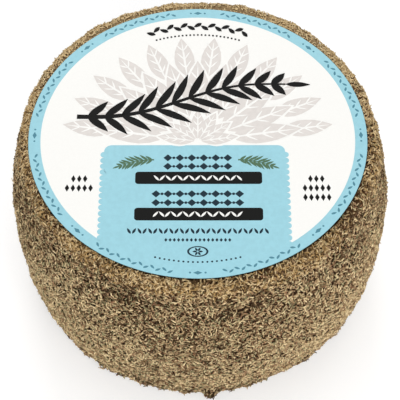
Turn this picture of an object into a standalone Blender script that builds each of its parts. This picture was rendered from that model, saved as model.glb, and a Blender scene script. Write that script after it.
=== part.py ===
"""A whole wheel of firm goat cheese, coated all over with chopped dried rosemary, with a round paper label on top.

The origin is the middle of the underside, +Z is up, and the front of the wheel faces -Y. Sizes are in metres.
"""

import math
import random
from typing import NamedTuple

import bmesh
import bpy
from mathutils import Matrix, Vector, noise
from mathutils.bvhtree import BVHTree

# Driving sizes of the wheel, over its coat
WHEEL_RADIUS = 0.100
WHEEL_HEIGHT = 0.110
RIM_DRAW = 0.0066  # how much narrower the barrel side is where it meets the rim
FOOT_DRAW = 0.0062  # and where it meets the foot
RIM_EDGE = 0.0038  # rounding radius between top face and side
FOOT_EDGE = 0.0096  # rounding radius between side and underside

# Facets of the turned body
AROUND = 92
SIDE_RINGS = 17
EDGE_RINGS = 3

# The paper label
LABEL_RADIUS = 0.0876
LABEL_THICKNESS = 0.0004
LABEL_GAP = 0.0003
LABEL_SIDES = 128
LABEL_OFFSET = -0.0008  # the label is stuck on a little left of the middle

# Flat places: the coat is pressed under the label, and the wheel stands on its underside
PRESSED_MARGIN = 0.0005
PRESSED_RADIUS = LABEL_RADIUS + abs(LABEL_OFFSET) + PRESSED_MARGIN
STANDING_RADIUS = WHEEL_RADIUS - FOOT_DRAW - FOOT_EDGE
FLAT_TOLERANCE = 0.000001

# Bumps of the coat
COAT_BUMP = 0.0010
COAT_BUMP_SPACING = 0.0079

# The largest leaves, which stand proud of the coat
LEAVES = 190
LEAF_LENGTH = 0.0060
LEAF_WIDTH = 0.0014
LEAF_LENGTH_SPREAD = (0.75, 1.2)
LEAF_WIDTH_SPREAD = (0.8, 1.15)
LEAF_SIDES = 4
LEAF_BANDS = 3
LEAF_TILT = math.radians(12)
LEAF_LOWEST = FOOT_EDGE * 0.6
LEAF_HIGHEST = WHEEL_HEIGHT - RIM_EDGE * 0.6
LEAF_WANDER = 2.0  # degrees either way from its place round the wheel
GOLDEN_ANGLE = math.pi * (3 - math.sqrt(5))

# The little clump of leaves that stands out at the foot in front
CLUMP_LEAVES = 7
CLUMP_AZIMUTH = 3.6
CLUMP_HALF_WIDTH = 1.8  # degrees
CLUMP_HEIGHT = 0.0066
CLUMP_HALF_HEIGHT = 0.0025
CLUMP_TILT = (math.radians(20), math.radians(50))
CLUMP_SPIN = 1.2

SEED = 11


class Form(NamedTuple):
    """A smooth local rise or hollow of the side.

    The azimuth and its half width are in degrees from the front, positive to the right, and the height and its half
    width are shares of the wheel's height. lean makes the place run upwards to the right, in shares for each degree.
    """

    azimuth: float
    half_angle: float
    height: float
    half_height: float
    lean: float
    rise: float


LOCAL_FORMS = {
    "crease_under_rim": Form(12.0, 7.0, 0.845, 0.026, 0.0035, -0.0016),
    "hollow_left": Form(-25.0, 9.0, 0.86, 0.045, 0.0, -0.0009),
    "bulge_right": Form(50.0, 22.0, 0.55, 0.30, 0.0, 0.0010),
    "bulge_far_right": Form(90.0, 13.0, 0.60, 0.22, 0.0, 0.0018),
    "flat_left": Form(-48.0, 20.0, 0.35, 0.30, 0.0, -0.0010),
    "flat_far_left": Form(-92.0, 24.0, 0.60, 0.25, 0.0, -0.0004),
    "full_rim_at_back": Form(180.0, 36.0, 0.97, 0.22, 0.0, 0.0018),
    "full_foot_left": Form(-38.0, 11.0, 0.08, 0.25, 0.0, 0.0007),
    "drawn_foot_front": Form(-4.0, 14.0, 0.07, 0.25, 0.0, -0.0005),
    "drawn_foot_right": Form(26.0, 12.0, 0.07, 0.25, 0.0, -0.0010),
    "clump_at_foot": Form(CLUMP_AZIMUTH, 2.0, CLUMP_HEIGHT / WHEEL_HEIGHT, 0.05, 0.0, 0.0036),
}


def swell(form, azimuth, height):
    """How far a local form stands out at an azimuth and a share of the height."""
    across = (azimuth - form.azimuth + 180) % 360 - 180
    up = height - form.height - form.lean * across
    return form.rise * math.exp(-((across / form.half_angle) ** 2) - (up / form.half_height) ** 2)


def unevenness(azimuth, height):
    """How far the coated side stands out of the true barrel: slow waves all round, and the local forms."""
    turn = math.radians(azimuth)
    waves = 0.0006 * math.cos(2 * turn - 1.1) + 0.0004 * math.cos(3 * turn + 2.0 + 4.0 * height)
    waves += 0.0003 * math.cos(5 * turn - 7.0 * height)
    return waves + sum(swell(form, azimuth, height) for form in LOCAL_FORMS.values())


def azimuth_of(x, y):
    """Degrees from the front, positive towards the right."""
    return math.degrees(math.atan2(x, -y))


def edge_arc(centre_radius, centre_height, size, start, end):
    """Points of a rounded edge, from the angle start to the angle end, in degrees."""
    points = []
    for step in range(EDGE_RINGS + 1):
        angle = math.radians(start + (end - start) * step / EDGE_RINGS)
        points.append((centre_radius + size * math.cos(angle), centre_height + size * math.sin(angle)))
    return points


def wheel_profile():
    """(radius, height) points from the middle of the top face, down the barrel side, to the middle of the underside."""
    middle = WHEEL_HEIGHT / 2
    top_of_side = WHEEL_HEIGHT - RIM_EDGE
    points = [(0.0, WHEEL_HEIGHT), (PRESSED_RADIUS, WHEEL_HEIGHT)]
    points += edge_arc(WHEEL_RADIUS - RIM_DRAW - RIM_EDGE, top_of_side, RIM_EDGE, 90, 0)
    for ring in range(1, SIDE_RINGS):
        height = top_of_side + (FOOT_EDGE - top_of_side) * ring / SIDE_RINGS
        end, draw = (top_of_side, RIM_DRAW) if height > middle else (FOOT_EDGE, FOOT_DRAW)
        points.append((WHEEL_RADIUS - draw * ((height - middle) / (end - middle)) ** 2, height))
    points += edge_arc(STANDING_RADIUS, FOOT_EDGE, FOOT_EDGE, 0, -90)
    points.append((0.0, 0.0))
    return points


def take_mesh(source, name):
    """A new mesh object with the evaluated shape of source, which is then removed."""
    graph = bpy.context.evaluated_depsgraph_get()
    mesh = bpy.data.meshes.new_from_object(source.evaluated_get(graph))
    holder = source.users_collection[0]
    bpy.data.objects.remove(source)
    made = bpy.data.objects.new(name, mesh)
    holder.objects.link(made)
    return made


def turned_wheel(collection):
    """The barrel-shaped wheel, turned from its profile."""
    mesh = bpy.data.meshes.new("wheel_profile")
    points = wheel_profile()
    edges = [(i, i + 1) for i in range(len(points) - 1)]
    mesh.from_pydata([(radius, 0.0, height) for radius, height in points], edges, [])
    profile = bpy.data.objects.new("wheel_profile", mesh)
    collection.objects.link(profile)
    screw = profile.modifiers.new("turn", "SCREW")
    screw.axis = "Z"
    screw.steps = AROUND
    screw.render_steps = AROUND
    screw.use_merge_vertices = True
    screw.merge_threshold = 0.00001
    return take_mesh(profile, "rosemary_coated_wheel")


def roughen(wheel):
    """Moves the skin in and out: the slow unevenness of a hand-rubbed wheel, and the bumps of its coat."""
    wheel.data.update()
    moved = []
    for vertex in wheel.data.vertices:
        place = vertex.co
        radius = math.hypot(place.x, place.y)
        standing = place.z < FLAT_TOLERANCE and radius < STANDING_RADIUS + FLAT_TOLERANCE
        pressed = place.z > WHEEL_HEIGHT - FLAT_TOLERANCE and radius < PRESSED_RADIUS + FLAT_TOLERANCE
        if standing or pressed:
            moved.append(place.copy())
            continue
        out = Vector((place.x, place.y, 0.0)).normalized()
        bump = COAT_BUMP * noise.noise(place / COAT_BUMP_SPACING)
        slow = unevenness(azimuth_of(place.x, place.y), place.z / WHEEL_HEIGHT)
        there = place + out * slow + vertex.normal * bump
        there.z = max(there.z, 0.0)
        moved.append(there)
    for vertex, there in zip(wheel.data.vertices, moved):
        vertex.co = there
    wheel.data.update()


def leaf_mesh():
    """One dried leaf, a blunt spindle of unit length and width along X, with a ridge upwards."""
    mesh = bpy.data.meshes.new("leaf")
    shape = bmesh.new()
    bmesh.ops.create_uvsphere(shape, u_segments=LEAF_SIDES, v_segments=LEAF_BANDS, radius=0.5)
    bmesh.ops.rotate(shape, verts=shape.verts, matrix=Matrix.Rotation(math.pi / 2, 3, "Y"))
    shape.to_mesh(mesh)
    shape.free()
    return mesh


def add_leaf(collection, mesh, place, normal, spin, tilt, length, width):
    """Lays one leaf on the skin, turned by spin about the normal and raised at one end by tilt."""
    leaf = bpy.data.objects.new("leaf", mesh)
    collection.objects.link(leaf)
    lay = normal.to_track_quat("Z", "X").to_matrix().to_4x4()
    turn = Matrix.Rotation(spin, 4, "Z") @ Matrix.Rotation(tilt, 4, "Y")
    leaf.matrix_world = Matrix.Translation(place) @ lay @ turn @ Matrix.Diagonal((length, width, width, 1.0))


def skin_place(skin, azimuth, height):
    """The point and normal of the skin at an azimuth in degrees and a height, found from the axis outwards."""
    turn = math.radians(azimuth)
    out = Vector((math.sin(turn), -math.cos(turn), 0.0))
    place, normal, _, _ = skin.ray_cast(Vector((0.0, 0.0, height)), out)
    return place, normal


def lay_leaves(wheel, collection):
    """Spreads the largest leaves evenly from the rim to the foot, and adds the little clump at the foot in front."""
    draw = random.Random(SEED)
    graph = bpy.context.evaluated_depsgraph_get()
    skin = BVHTree.FromObject(wheel, graph)
    mesh = leaf_mesh()
    for count in range(LEAVES):
        azimuth = math.degrees(count * GOLDEN_ANGLE) + draw.uniform(-LEAF_WANDER, LEAF_WANDER)
        height = LEAF_LOWEST + (LEAF_HIGHEST - LEAF_LOWEST) * (count + draw.random()) / LEAVES
        place, normal = skin_place(skin, azimuth, height)
        length = LEAF_LENGTH * draw.uniform(*LEAF_LENGTH_SPREAD)
        width = LEAF_WIDTH * draw.uniform(*LEAF_WIDTH_SPREAD)
        tilt = draw.uniform(-LEAF_TILT, LEAF_TILT)
        add_leaf(collection, mesh, place, normal, draw.uniform(0, math.pi), tilt, length, width)
    for count in range(CLUMP_LEAVES):
        azimuth = CLUMP_AZIMUTH + draw.uniform(-CLUMP_HALF_WIDTH, CLUMP_HALF_WIDTH)
        height = CLUMP_HEIGHT + draw.uniform(-CLUMP_HALF_HEIGHT, CLUMP_HALF_HEIGHT)
        place, normal = skin_place(skin, azimuth, height)
        spin = draw.uniform(-CLUMP_SPIN, CLUMP_SPIN)
        add_leaf(collection, mesh, place, normal, spin, draw.uniform(*CLUMP_TILT), LEAF_LENGTH, LEAF_WIDTH)


def fuse(wheel, leaves):
    """Joins the leaves to the wheel as one solid, and removes the loose ones."""
    union = wheel.modifiers.new("fuse_leaves", "BOOLEAN")
    union.operation = "UNION"
    union.operand_type = "COLLECTION"
    union.collection = leaves
    union.solver = "MANIFOLD"
    fused = take_mesh(wheel, "rosemary_coated_wheel")
    for leaf in list(leaves.objects):
        bpy.data.objects.remove(leaf)
    bpy.data.collections.remove(leaves)
    fused.data.shade_smooth()
    return fused


def label_disc(collection):
    """The round paper label, lying on the pressed top of the coat."""
    height = WHEEL_HEIGHT + LABEL_GAP + LABEL_THICKNESS / 2
    bpy.ops.mesh.primitive_cylinder_add(
        vertices=LABEL_SIDES,
        radius=LABEL_RADIUS,
        depth=LABEL_THICKNESS,
        location=(LABEL_OFFSET, 0.0, height),
    )
    label = bpy.context.object
    label.name = "paper_label"
    for holder in list(label.users_collection):
        holder.objects.unlink(label)
    collection.objects.link(label)
    return label


def finish(name, colour, roughness):
    """A plain non-metallic material."""
    material = bpy.data.materials.new(name)
    material.use_nodes = True
    shader = material.node_tree.nodes["Principled BSDF"]
    shader.inputs["Base Color"].default_value = (*colour, 1.0)
    shader.inputs["Roughness"].default_value = roughness
    shader.inputs["Metallic"].default_value = 0.0
    return material


def main():
    for old in list(bpy.data.objects):
        bpy.data.objects.remove(old)
    parts = bpy.data.collections.new("goat_cheese_wheel")
    leaves = bpy.data.collections.new("proud_leaves")
    bpy.context.scene.collection.children.link(parts)
    bpy.context.scene.collection.children.link(leaves)
    wheel = turned_wheel(parts)
    roughen(wheel)
    lay_leaves(wheel, leaves)
    wheel = fuse(wheel, leaves)
    wheel.data.materials.append(finish("dried_rosemary", (0.27, 0.20, 0.11), 0.85))
    label = label_disc(parts)
    label.data.materials.append(finish("label_paper", (0.93, 0.93, 0.90), 0.55))


main()
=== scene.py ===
"""Looks of a whole goat cheese wheel coated with chopped dried rosemary, with a round paper label on top.

The script is laid out as an add-on: property groups for the sizes and colours, one operator for each group of
pieces and one panel that lists them. Sizes are in metres, +Z is up and the front of the wheel faces -Y.
"""

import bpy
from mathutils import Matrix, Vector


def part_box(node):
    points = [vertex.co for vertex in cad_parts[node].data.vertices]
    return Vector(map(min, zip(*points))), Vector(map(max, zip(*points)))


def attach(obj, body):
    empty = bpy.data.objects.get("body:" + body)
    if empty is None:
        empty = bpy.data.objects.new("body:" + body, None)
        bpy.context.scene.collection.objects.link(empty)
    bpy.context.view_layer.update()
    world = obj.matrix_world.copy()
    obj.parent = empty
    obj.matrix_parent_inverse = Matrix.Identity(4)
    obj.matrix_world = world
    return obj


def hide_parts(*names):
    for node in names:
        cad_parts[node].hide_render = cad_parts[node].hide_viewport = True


bl_info = {
    "name": "Rosemary-coated goat cheese wheel",
    "version": (1, 0, 0),
    "blender": (4, 5, 0),
    "location": "View3D > Sidebar > Cheese",
    "description": "Makes a goat cheese wheel with a coat of dried rosemary leaves and a printed paper label",
    "category": "Add Mesh",
}

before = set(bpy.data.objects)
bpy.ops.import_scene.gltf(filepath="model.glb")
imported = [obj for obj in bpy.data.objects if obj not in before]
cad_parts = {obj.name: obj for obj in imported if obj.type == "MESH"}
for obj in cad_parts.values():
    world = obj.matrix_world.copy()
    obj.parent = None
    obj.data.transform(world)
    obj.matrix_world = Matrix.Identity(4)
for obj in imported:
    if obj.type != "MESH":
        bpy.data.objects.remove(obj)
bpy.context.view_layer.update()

import math
from typing import NamedTuple

import bmesh
import bpy
import numpy as np
from bpy.props import FloatProperty, FloatVectorProperty, IntProperty, PointerProperty
from mathutils import Matrix, Vector, noise

WHEEL_NODE = "rosemary_coated_wheel"
LABEL_NODE = "paper_label"
LABEL_LOW, LABEL_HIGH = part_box(LABEL_NODE)
BODY = "root"
COAT_SLOT = "rosemary_coat"
PAPER_SLOT = "label_paper"
MM = 0.001
UV_NAME = "OFBake"
GOLDEN_ANGLE = math.pi * (3 - math.sqrt(5))


def linear(red, green, blue):
    """A linear colour from the 0 to 255 values that a screen shows."""
    channels = []
    for value in (red, green, blue):
        share = value / 255
        channels.append(share / 12.92 if share <= 0.04045 else ((share + 0.055) / 1.055) ** 2.4)
    return tuple(channels)


# Settings that a user would change


def number(name, description, default, **more):
    """A number setting, 0 or more."""
    return FloatProperty(name=name, description=description, default=default, min=0.0, **more)


def whole(name, description, default):
    """A whole number setting, 0 or more."""
    return IntProperty(name=name, description=description, default=default, min=0)


def length(name, description, default):
    """A length setting, in metres."""
    return number(name, description, default, unit="LENGTH", precision=5)


def share(name, description, default):
    """A setting that is a share from 0 to 1."""
    return number(name, description, default, max=1.0, subtype="FACTOR")


def colour(name, description, *screen_values):
    """A colour setting, given as screen values."""
    usual = linear(*screen_values)
    return FloatVectorProperty(
        name=name, description=description, default=usual, min=0.0, max=1.0, size=3, subtype="COLOR"
    )


class WheelSettings(bpy.types.PropertyGroup):
    """Sizes of the wheel, over its coat."""

    radius: length("Radius", "Largest radius of the barrel-shaped side", 0.100)
    height: length("Height", "Height of the top face", LABEL_LOW.z - 0.3 * MM)
    rim_draw: length("Rim draw", "How much narrower the side is at the rim", 6.6 * MM)
    foot_draw: length("Foot draw", "How much narrower the side is at the foot", 6.2 * MM)
    rim_edge: length("Rim edge", "Rounding radius between top face and side", 3.8 * MM)
    foot_edge: length("Foot edge", "Rounding radius between side and underside", 9.6 * MM)
    coat_bump: length("Coat bump", "Height of the bumps of the coat", 1.0 * MM)
    coat_bump_spacing: length("Coat bump spacing", "Distance between the bumps of the coat", 7.9 * MM)
    crust_depth: length("Crust depth", "How far the crumbly crust lies under the skin of the coat", 1.2 * MM)
    crust_crumb: length("Crust crumb", "Height of the crumbs of the crust", 0.5 * MM)


class LeafSettings(bpy.types.PropertyGroup):
    """Counts and sizes of the dried rosemary leaves."""

    cut_leaves: whole("Cut leaves", "Tan leaves, cut short", 24500)
    brown_leaves: whole("Brown leaves", "Darker brown leaves", 24300)
    olive_leaves: whole("Olive leaves", "Grey-green leaves", 23000)
    curled_leaves: whole("Curled leaves", "Curled pale leaves", 13500)
    golden_leaves: whole("Golden leaves", "Warm leaves beside the label", 8200)
    leaf_crumbs: whole("Crumbs", "Broken bits between the leaves", 12000)
    leaf_length: length("Leaf length", "Usual length of a cut leaf", 2.0 * MM)
    leaf_width: length("Leaf width", "Usual width of a cut leaf", 0.62 * MM)
    leaf_thickness: length("Leaf thickness", "Usual thickness of a cut leaf", 0.5 * MM)
    standing: share("Standing share", "Share of the leaves that stand out of the coat", 0.002)
    seed: whole("Seed", "Seed of every random draw", 7)
    deep: colour("Deep", "Leaf colour in its darkest places", 74, 52, 31)
    tan: colour("Tan", "Usual colour of a cut leaf", 180, 150, 110)
    brown: colour("Brown", "Usual colour of a brown leaf", 160, 119, 87)
    olive: colour("Olive", "Usual colour of an olive leaf", 152, 146, 106)
    pale: colour("Pale", "Colour of the palest leaves", 235, 211, 164)
    golden: colour("Golden", "Usual colour of a golden leaf", 178, 144, 92)
    # The crust's dark colour is partly painted shade: it stands in for the shade in the gaps between the
    # leaves.
    crust: colour("Crust", "Dark crumbly crust between the leaves", 60, 42, 25)
    crust_rim: colour("Crust at the rim", "Crust between the golden leaves", 96, 68, 42)
    # The paler crust at the back is painted light on the back of the rim.
    crust_painted_light_behind: colour("Crust at the back", "Paler crust of the rim at the back", 146, 122, 88)


class LabelSettings(bpy.types.PropertyGroup):
    """Sizes and colours of the paper label and its print."""

    radius: length("Radius", "Radius of the label", (LABEL_HIGH.x - LABEL_LOW.x) / 2)
    wave: length("Wave", "How far the edge of the paper lifts and dips", 0.16 * MM)
    ink: length("Ink", "Thickness of one layer of ink", 0.02 * MM)
    ring: share("Ring", "Inner radius of the coloured ring, as a share of the label's", 0.928)
    paper: colour("Paper", "White of the paper", 249, 248, 244)
    blue: colour("Pale blue", "Ring and panel", 156, 210, 223)
    teal: colour("Teal", "Ornaments on the pale blue", 74, 134, 152)
    navy: colour("Dark blue", "Rows of ornaments on the panel", 20, 44, 56)
    grey: colour("Warm grey", "Large leaves of the upper half", 225, 219, 214)
    black: colour("Black", "Large sprig and bars", 15, 15, 14)
    green: colour("Green", "Small sprigs", 74, 108, 78)


class StageSettings(bpy.types.PropertyGroup):
    """Camera, lights and floor."""

    elevation: number("Elevation", "Camera's angle above the horizon", math.radians(54.55), subtype="ANGLE")
    distance: length("Distance", "From the camera to the middle of the wheel", 0.850)
    lens: number("Lens", "Focal length in millimetres", 139.95)
    aim_right: length("Aim right", "Aim point beside the middle", 0.33 * MM)
    aim_down: length("Aim down", "Aim point below the middle", 1.20 * MM)
    floor: colour("Floor", "Pale floor", 212, 212, 212)
    glow: share("Glow", "How much the floor glows of its own, as a light table does", 0.46)
    sky: number("Sky", "Strength of the even light", 0.47)
    key: number("Key", "Power of the lamp above, in watts", 14.0)
    fill: number("Fill", "Power of the lamp in front, in watts", 78.0)
    rim: number("Rim", "Power of the lamp behind, in watts", 27.0)


# The skin of the coat


class Form(NamedTuple):
    """A smooth local rise or hollow of the side.

    The azimuth and its half width are in degrees from the front, positive to the right. The height and its
    half width are shares of the wheel's height. lean is how far the place climbs for each degree to the right.
    """

    azimuth: float
    half_angle: float
    height: float
    half_height: float
    lean: float
    rise: float


CLUMP_AZIMUTH = 3.6
CLUMP_HEIGHT = 0.06
CREASE = Form(12.0, 7.0, 0.845, 0.026, 0.0035, -1.6 * MM)
HOLLOW_LEFT = Form(-25.0, 9.0, 0.86, 0.045, 0.0, -0.9 * MM)
BULGE_RIGHT = Form(50.0, 22.0, 0.55, 0.30, 0.0, 1.0 * MM)
BULGE_FAR_RIGHT = Form(90.0, 13.0, 0.60, 0.22, 0.0, 1.8 * MM)
FLAT_LEFT = Form(-48.0, 20.0, 0.35, 0.30, 0.0, -1.0 * MM)
FLAT_FAR_LEFT = Form(-92.0, 24.0, 0.60, 0.25, 0.0, -0.4 * MM)
RIM_AT_BACK = Form(180.0, 36.0, 0.97, 0.22, 0.0, 1.8 * MM)
FOOT_LEFT = Form(-38.0, 11.0, 0.08, 0.25, 0.0, 0.7 * MM)
FOOT_FRONT = Form(-4.0, 14.0, 0.07, 0.25, 0.0, -0.5 * MM)
FOOT_RIGHT = Form(26.0, 12.0, 0.07, 0.25, 0.0, -1.0 * MM)
CLUMP = Form(CLUMP_AZIMUTH, 2.0, CLUMP_HEIGHT, 0.05, 0.0, 3.6 * MM)
LOCAL_FORMS = (
    CREASE,
    HOLLOW_LEFT,
    BULGE_RIGHT,
    BULGE_FAR_RIGHT,
    FLAT_LEFT,
    FLAT_FAR_LEFT,
    RIM_AT_BACK,
    FOOT_LEFT,
    FOOT_FRONT,
    FOOT_RIGHT,
    CLUMP,
)

# Slow waves round the side: their height, how many there are, their phase, and how they twist up the side
WAVES = ((0.6 * MM, 2, -1.1, 0.0), (0.4 * MM, 3, 2.0, 4.0), (0.3 * MM, 5, 0.0, -7.0))

# Places where the leaves are painted paler, as painted light. They don't stand out.
PALE_RIGHT = Form(56.0, 30.0, 0.45, 0.42, 0.0, 0.0)
PALE_LEFT = Form(-54.0, 26.0, 0.42, 0.40, 0.0, 0.0)
# Places where brown or olive leaves are fewer, so that the left is greener and the right warmer
GREENER_LEFT = Form(-58.0, 36.0, 0.50, 0.60, 0.0, 0.0)
WARMER_RIGHT = Form(55.0, 34.0, 0.45, 0.50, 0.0, 0.0)
# Places high on the far sides with more dark leaves, as painted shade
DARK_RIGHT = Form(86.0, 14.0, 0.90, 0.20, 0.0, 0.0)
DARK_LEFT = Form(-88.0, 16.0, 0.86, 0.24, 0.0, 0.0)


def nearness(form, azimuth, height):
    """From 0 to 1, how near a place is to the middle of a local form. It takes arrays."""
    across = (azimuth - form.azimuth + 180) % 360 - 180
    up = height - form.height - form.lean * across
    return np.exp(-((across / form.half_angle) ** 2) - (up / form.half_height) ** 2)


def near_any(strengths, azimuth, height):
    """Adds up the nearness to several local forms, each times its strength."""
    return sum(strength * nearness(form, azimuth, height) for form, strength in strengths)


def unevenness(azimuth, height):
    """How far the side stands out of the true barrel, at azimuths in degrees and shares of the height."""
    turn = np.radians(azimuth)
    waves = sum(rise * np.cos(count * turn + phase + twist * height) for rise, count, phase, twist in WAVES)
    return waves + near_any([(form, form.rise) for form in LOCAL_FORMS], azimuth, height)


def noise_at(places, spacing):
    """Smooth noise from -1 to 1 at each place."""
    return np.array([noise.noise(Vector(place) / spacing) for place in places])


class Skin:
    """The outer skin of the coat, followed from the middle of the top, down the side, to the underside."""

    ARC_STEPS = 12
    SIDE_STEPS = 48
    PRESSED_MARGIN = 1.3 * MM  # how far the pressed flat top reaches beyond the label
    SLOPE_STEP = 0.05 * MM
    FRAME_STEP = 0.6 * MM
    LEAST_RADIUS = 5 * MM

    def __init__(self, wheel, label_radius):
        self.wheel = wheel
        self.label_radius = label_radius
        self.pressed_radius = label_radius + self.PRESSED_MARGIN
        self.standing_radius = wheel.radius - wheel.foot_draw - wheel.foot_edge
        self.radii, self.heights = np.array(self.profile()).T
        steps = np.hypot(np.diff(self.radii), np.diff(self.heights))
        self.along = np.concatenate(([0.0], np.cumsum(steps)))

    def arc(self, radius, height, size, start, end):
        """Points of a rounded edge between two angles in degrees."""
        angles = np.radians(np.linspace(start, end, self.ARC_STEPS + 1))
        return [(radius + size * math.cos(angle), height + size * math.sin(angle)) for angle in angles]

    def profile(self):
        """(radius, height) points of the section."""
        wheel = self.wheel
        middle = wheel.height / 2
        top_of_side = wheel.height - wheel.rim_edge
        rim = wheel.radius - wheel.rim_draw - wheel.rim_edge
        points = [(0.0, wheel.height), (self.pressed_radius, wheel.height)]
        points += self.arc(rim, top_of_side, wheel.rim_edge, 90, 0)
        for step in range(1, self.SIDE_STEPS):
            height = top_of_side + (wheel.foot_edge - top_of_side) * step / self.SIDE_STEPS
            upper = height > middle
            end, draw = (top_of_side, wheel.rim_draw) if upper else (wheel.foot_edge, wheel.foot_draw)
            points.append((wheel.radius - draw * ((height - middle) / (end - middle)) ** 2, height))
        points += self.arc(self.standing_radius, wheel.foot_edge, wheel.foot_edge, 0, -90)
        points.append((0.0, 0.0))
        return points

    def total(self):
        """Length of the section, from the middle of the top to the middle of the underside."""
        return self.along[-1]

    def foot(self):
        """Distance down the section at which the flat underside begins."""
        return self.total() - self.standing_radius

    def section(self, along):
        """Radii and heights at distances down the section."""
        return np.interp(along, self.along, self.radii), np.interp(along, self.along, self.heights)

    def points(self, azimuth, along):
        """Places on the skin, for an array of azimuths in degrees and one of distances down the section."""
        radius, height = self.section(along)
        next_radius, next_height = self.section(along + self.SLOPE_STEP)
        last_radius, last_height = self.section(along - self.SLOPE_STEP)
        slope_r = next_radius - last_radius
        slope_z = next_height - last_height
        reach = np.maximum(np.hypot(slope_r, slope_z), 1e-12)
        turn = np.radians(azimuth)
        out = np.stack([np.sin(turn), -np.cos(turn), np.zeros_like(turn)], axis=1)
        up = np.array([0.0, 0.0, 1.0])
        true_place = out * radius[:, None] + up * height[:, None]
        normal = out * (-slope_z / reach)[:, None] + up * (slope_r / reach)[:, None]
        flat = (along < self.pressed_radius) | (along > self.foot())
        loose = np.where(flat, 0.0, 1.0)
        bump = self.wheel.coat_bump * noise_at(true_place, self.wheel.coat_bump_spacing) * loose
        slow = unevenness(azimuth, height / self.wheel.height) * loose
        place = true_place + out * slow[:, None] + normal * bump[:, None]
        place[:, 2] = np.maximum(place[:, 2], 0.0)
        return place

    def frames(self, azimuth, along):
        """Places on the skin with the unit directions around, down the section and outwards."""
        step = self.FRAME_STEP
        place = self.points(azimuth, along)
        turn = np.degrees(step / np.maximum(self.section(along)[0], self.LEAST_RADIUS))
        around = self.points(azimuth + turn, along) - self.points(azimuth - turn, along)
        down = self.points(azimuth, along + step) - self.points(azimuth, along - step)
        around = around / np.linalg.norm(around, axis=1, keepdims=True)
        normal = np.cross(down, around)
        normal = normal / np.linalg.norm(normal, axis=1, keepdims=True)
        down = np.cross(around, normal)
        return place, around, down, normal


# Mesh helpers


def linked_object(name, data):
    """A new object at the origin, linked to the scene."""
    made = bpy.data.objects.new(name, data)
    bpy.context.scene.collection.objects.link(made)
    return made


def object_from(shape, name, smooth=True):
    """A mesh object at the origin, made of a bmesh, which is then freed."""
    mesh = bpy.data.meshes.new(name)
    shape.to_mesh(mesh)
    shape.free()
    if smooth:
        mesh.shade_smooth()
    return linked_object(name, mesh)


def spin_line(shape, places, steps):
    """Turns a line of (radius, height) places once about the Z axis."""
    line = [shape.verts.new((radius, 0.0, height)) for radius, height in places]
    edges = [shape.edges.new(pair) for pair in zip(line, line[1:])]
    bmesh.ops.spin(
        shape,
        geom=line + edges,
        cent=(0, 0, 0),
        axis=(0, 0, 1),
        dvec=(0, 0, 0),
        angle=2 * math.pi,
        steps=steps,
        use_merge=True,
    )


def turned_shape(section, steps):
    """A closed shape, turned from (radius, height) places that start and end on the Z axis."""
    shape = bmesh.new()
    spin_line(shape, section, steps)
    bmesh.ops.remove_doubles(shape, verts=shape.verts, dist=0.001 * MM)
    bmesh.ops.recalc_face_normals(shape, faces=shape.faces)
    return shape


def round_corners(shape, corners, size, segments):
    """Rounds corners of a flat shape."""
    bmesh.ops.bevel(
        shape,
        geom=corners,
        offset=size,
        offset_type="OFFSET",
        affect="VERTICES",
        segments=segments,
        profile=0.5,
        material=-1,
    )


def cut_across(shape, place, away, clear=False):
    """Cuts a shape along a plane and, where asked, clears the side that away points to."""
    everything = shape.verts[:] + shape.edges[:] + shape.faces[:]
    bmesh.ops.bisect_plane(shape, geom=everything, plane_co=place, plane_no=away, clear_outer=clear)


def finish_piece(piece, material, slot, *replaced):
    """Gives a piece its material, ties it to the body and hides the nodes that it stands for. The slot is not
    used.
    """
    piece.data.materials.append(material)
    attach(piece, BODY)
    if replaced:
        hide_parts(*replaced)


# Node helpers


def new_group(name, inputs, outputs):
    """A shader node group with named sockets. inputs holds (kind, name, default) and outputs (kind, name)."""
    tree = bpy.data.node_groups.new(name, "ShaderNodeTree")
    for kind, label, default in inputs:
        socket = tree.interface.new_socket(label, in_out="INPUT", socket_type="NodeSocket" + kind)
        if default is not None:
            socket.default_value = default
    for kind, label in outputs:
        tree.interface.new_socket(label, in_out="OUTPUT", socket_type="NodeSocket" + kind)
    return tree, tree.nodes.new("NodeGroupInput"), tree.nodes.new("NodeGroupOutput")


def feed(tree, socket, value):
    """Links a socket to another one, or sets its constant."""
    if isinstance(value, bpy.types.NodeSocket):
        tree.links.new(value, socket)
    else:
        socket.default_value = value


def add_node(tree, kind, settings=None, **inputs):
    """A node with its settings, and with its inputs linked or set."""
    made = tree.nodes.new("ShaderNode" + kind)
    for key, value in (settings or {}).items():
        setattr(made, key, value)
    for key, value in inputs.items():
        feed(tree, made.inputs[key.replace("_", " ")], value)
    return made


def calculate(tree, operation, *values):
    """The output socket of a Math node."""
    made = add_node(tree, "Math", {"operation": operation})
    for socket, value in zip(made.inputs, values):
        feed(tree, socket, value)
    return made.outputs[0]


def ramp_between(tree, value, low, high):
    """A smooth 0 to 1 as a value goes from low to high."""
    smooth = {"interpolation_type": "SMOOTHSTEP"}
    return add_node(tree, "MapRange", smooth, Value=value, From_Min=low, From_Max=high).outputs["Result"]


def mix_colours(tree, factor, first, second):
    """The colour output of a Mix node. Colours are sockets or RGBA values."""
    made = add_node(tree, "Mix", {"data_type": "RGBA"})
    for place, value in ((0, factor), (6, first), (7, second)):
        feed(tree, made.inputs[place], value)
    return made.outputs[2]


def rgba(rgb, times=1.0):
    """A colour with full alpha, lighter or darker by a factor."""
    return (*(min(1.0, channel * times) for channel in rgb), 1.0)


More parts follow.
